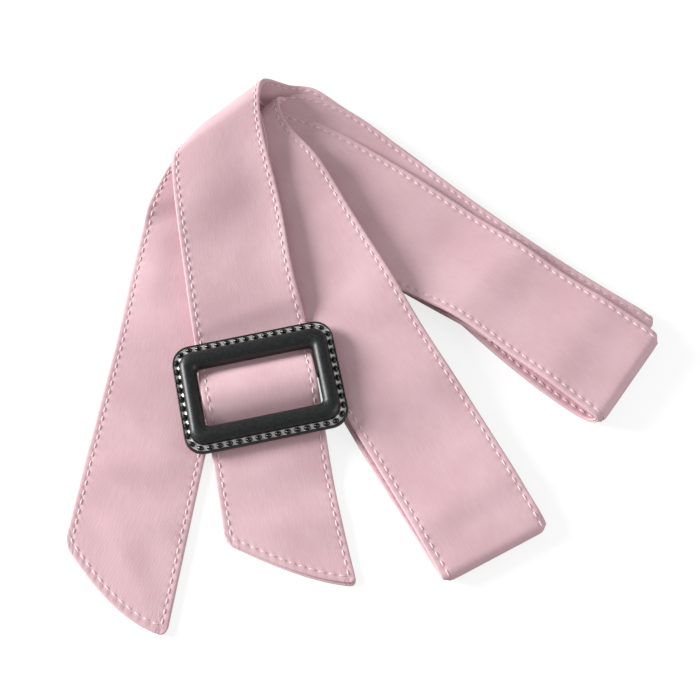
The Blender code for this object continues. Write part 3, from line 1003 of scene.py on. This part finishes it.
def cloth_paint():
    """Ribs are the sine of the distance across them, shaken by fine streaks
    and faded by patches. The wave is the cosine of the stitch count, so it is
    1 at each needle hole and -1 at each stitch's middle."""
    paint = Paint("rose_twill", Specular_IOR_Level=0.3, Sheen_Weight=0.45,
                  Sheen_Roughness=0.40, Sheen_Tint=rgb(SHEEN_TONE))
    place = paint.on_map("weave")
    along, across = paint.split(place)
    stretched = paint.node("ShaderNodeVectorMath", {"operation": "MULTIPLY"},
                           {0: place, 1: (0.10, 1.0, 1.0)})
    streaks = paint.noise(stretched, 1500.0, 2.0, 0.6)
    patches = paint.noise(place, 160.0, 2.0, 0.5)
    clouds = paint.noise(place, 38.0, 3.0, 0.55)
    across_ribs = (along * RIB_LEAN + across) * (2 * math.pi / RIB_PITCH)
    ribs = (across_ribs + streaks * 3.4).sine() * patches

    stitch, outwards = paint.split(paint.on_map("seam"))
    wave = (stitch * (2 * math.pi / MM)).cosine()
    outwards = outwards * (1 / MM)
    off_line = abs(outwards)
    # The hole mask gives each needle hole a dimple in the bump and painted shade in the
    # colour.
    hole = paint.smooth(wave, 0.55, 0.98) * (1 - paint.smooth(off_line, 0.25, 0.85))
    puff = (1 - wave) * 0.5 * (1 - paint.smooth(off_line, 0.6, 3.0))
    rim = paint.smooth(outwards, 2.2, 3.0)

    tone = paint.smooth(clouds * 0.65 + streaks * 0.35, 0.34, 0.68)
    body = paint.blend(tone, rgb(CLOTH_SHADE), rgb(CLOTH_TONE))
    # Painted highlight: the band past the stitching is blended towards a paler rose.
    body = paint.blend(rim * 0.45, body, rgb(CLOTH_RIM_HIGHLIGHT))
    # Painted shade: each needle hole is tinted a darker rose.
    paint.feed("Base Color", paint.blend(hole * 0.12, body, rgb(HOLE_SHADE_TONE)))
    paint.feed("Roughness", 0.56 + streaks * 0.12)
    height = ribs * 0.20 + streaks - hole + puff * 1.8
    paint.feed("Normal", paint.bump(height, BUMP_DISTANCE))
    return paint.material


def thread_paint():
    """Pale thread with fine fuzz: bump from small clouds."""
    paint = Paint("rose_thread", Base_Color=rgb(THREAD_TONE), Roughness=0.45)
    fuzz = paint.noise(paint.on_piece(), 2600.0, 1.0)
    paint.feed("Normal", paint.bump(fuzz, 0.00004, 0.7))
    return paint.material


belt.data.materials.append(cloth_paint())
thread = thread_paint()
for obj in (stitches_top, stitches_under):
    obj.data.materials.append(thread)
print("cloth and thread painted")

# %% [markdown]
# ## The buckle's finishes
#
# The ring is near black with a fine leather grain that catches soft grey
# light along its crest. The grain's paler grey speckles are painted all over
# the ring, partly the grain's own tone and partly painted highlights on the
# grain. The groove beside it is bright, like a pale lacquer line, and the
# beads in it are smooth, black and glossy. The bar behind the cloth is plain
# steel wire.

# %% Buckle materials
# Where the groove's inner and outer edges begin and end on the section map, metres.
GROOVE = (0.00705, 0.00720, 0.00910, 0.00930)


def moulding_paint():
    """The groove's mask is the step at its inner edge times 1 - the step at
    its outer edge; it turns black grain into bright lacquer."""
    paint = Paint("buckle_black", Specular_IOR_Level=0.5)
    across = paint.split(paint.on_map("section"))[1]
    groove = paint.smooth(across, *GROOVE[:2]) * (1 - paint.smooth(across, *GROOVE[2:]))
    grain = paint.noise(paint.on_piece(), 900.0, 3.0, 0.6)
    # Grey speckles in the grain: partly its own tone, partly painted highlights.
    black = paint.blend(paint.smooth(grain, 0.35, 0.7), rgb("101213"), rgb("222627"))
    paint.feed("Base Color", paint.blend(groove, black, rgb("E8E6E4")))
    paint.feed("Metallic", groove * 0.35)
    paint.feed("Roughness", 0.34 + grain * 0.16 - groove * 0.1)
    paint.feed("Normal", paint.bump(grain, 0.00010, 0.5))
    return paint.material


def bead_paint():
    """Black gloss, a little uneven: roughness from broad clouds."""
    paint = Paint("bead_gloss", Base_Color=rgb("17191A"))
    paint.feed("Roughness", 0.12 + paint.noise(paint.on_piece(), 500.0) * 0.12)
    return paint.material


def bar_paint():
    """Plain steel wire, with roughness from broad clouds."""
    paint = Paint("bar_steel", Base_Color=rgb("B9BABC"), Metallic=1.0)
    paint.feed("Roughness", 0.22 + paint.noise(paint.on_piece(), 700.0) * 0.2)
    return paint.material


moulding.data.materials.append(moulding_paint())
beads.data.materials.append(bead_paint())
bar = next(obj for obj in bpy.data.objects if obj.name.startswith("buckle_bar"))
for slot in bar.material_slots:
    slot.material = bar_paint()
print("buckle painted; bar is", bar.name)

print("flat cut %.3f m x %.3f m" % (BELT_WIDTH * MM, BELT_LENGTH * MM))

# %% [markdown]
# ## Table and light
#
# The table is plain and shows white. Most of its white is a glow that only the
# camera and reflections see, so that it throws no extra light on the cloth,
# and the grey under the glow still takes the belt's shadow. One large soft
# lamp low on the left rakes across the cloth and shapes its folds, a small
# weak one fills in from the right, and the sky is an even white.

# %% Stage
TABLE_REACH = 30000.0    # from the middle to each side, mm, past what any view shows
TABLE_DROP = 0.05        # below the belt's underside, mm
SKY_STRENGTH = 0.36


def floor_paint():
    """Mid grey with a white glow of seen * 0.78 + mirror * 0.4: white to the
    camera, softer in reflections, and nought for every other ray."""
    paint = Paint("table_white", Base_Color=(0.32, 0.32, 0.32, 1.0), Roughness=0.9)
    rays = paint.node("ShaderNodeLightPath").socket.node
    seen = Wire(paint, rays.outputs["Is Camera Ray"])
    mirror = Wire(paint, rays.outputs["Is Glossy Ray"])
    paint.shader.inputs["Emission Strength"].default_value = 1.0
    glow = seen * 0.78 + mirror * 0.4
    paint.feed("Emission Color", paint.blend(glow, rgb("000000"), rgb("FFFFFF")))
    return paint.material


def add_floor():
    """One flat square, as far to every side."""
    corners = np.array([(-1, -1, 0), (1, -1, 0), (1, 1, 0), (-1, 1, 0)]) * TABLE_REACH
    floor = add_mesh("floor", corners - (0, 0, TABLE_DROP), np.array([[0, 1, 2, 3]]))
    floor.data.materials.append(floor_paint())


def add_lamp(name, position, target, size, power):
    """A round area lamp that faces its target."""
    lamp = bpy.data.lights.new(name, "AREA")
    lamp.shape = "DISK"
    lamp.size = size
    lamp.energy = power
    obj = bpy.data.objects.new(name, lamp)
    obj.location = position
    aim = Vector(target) - Vector(position)
    obj.rotation_euler = aim.to_track_quat("-Z", "Y").to_euler()
    bpy.context.scene.collection.objects.link(obj)


def add_sky():
    """An even white world."""
    world = bpy.data.worlds.new("studio_sky")
    world.use_nodes = True
    background = world.node_tree.nodes["Background"]
    background.inputs["Color"].default_value = (1.0, 1.0, 1.0, 1.0)
    background.inputs["Strength"].default_value = SKY_STRENGTH
    bpy.context.scene.world = world


add_floor()
add_lamp("key_lamp", (-2.20, 0.50, 0.78), target=(0, 0, 0), size=1.05, power=92.0)
add_lamp("fill_lamp", (0.80, -0.24, 0.44), target=(0.05, 0, 0), size=0.60, power=2.3)
add_sky()
print("stage set")

# %% [markdown]
# ## Camera
#
# The camera looks down on the belt at 64 degrees, through a moderately long
# lens, so that the belt's width stays nearly the same from front to back.

# %% Camera
CAMERA_LIFT = math.radians(64)
CAMERA_AWAY = 0.620    # metres from the point that it looks at
CAMERA_LENS = 71.65    # mm, on a sensor 36 mm wide
aim_point = Vector((-TABLE_MIDDLE[0] * MM, -TABLE_MIDDLE[1] * MM, 0.0))
towards = Vector((0, -math.cos(CAMERA_LIFT), math.sin(CAMERA_LIFT)))
camera_data = bpy.data.cameras.new("camera")
camera_data.lens = CAMERA_LENS
camera_data.sensor_width = 36.0
camera_data.clip_start = 0.01
camera = bpy.data.objects.new("camera", camera_data)
camera.location = aim_point + CAMERA_AWAY * towards
camera.rotation_euler = (math.pi / 2 - CAMERA_LIFT, 0.0, 0.0)
bpy.context.scene.collection.objects.link(camera)
bpy.context.scene.camera = camera
bpy.context.scene.view_settings.view_transform = "Standard"
print("camera at", rounded(camera.location))
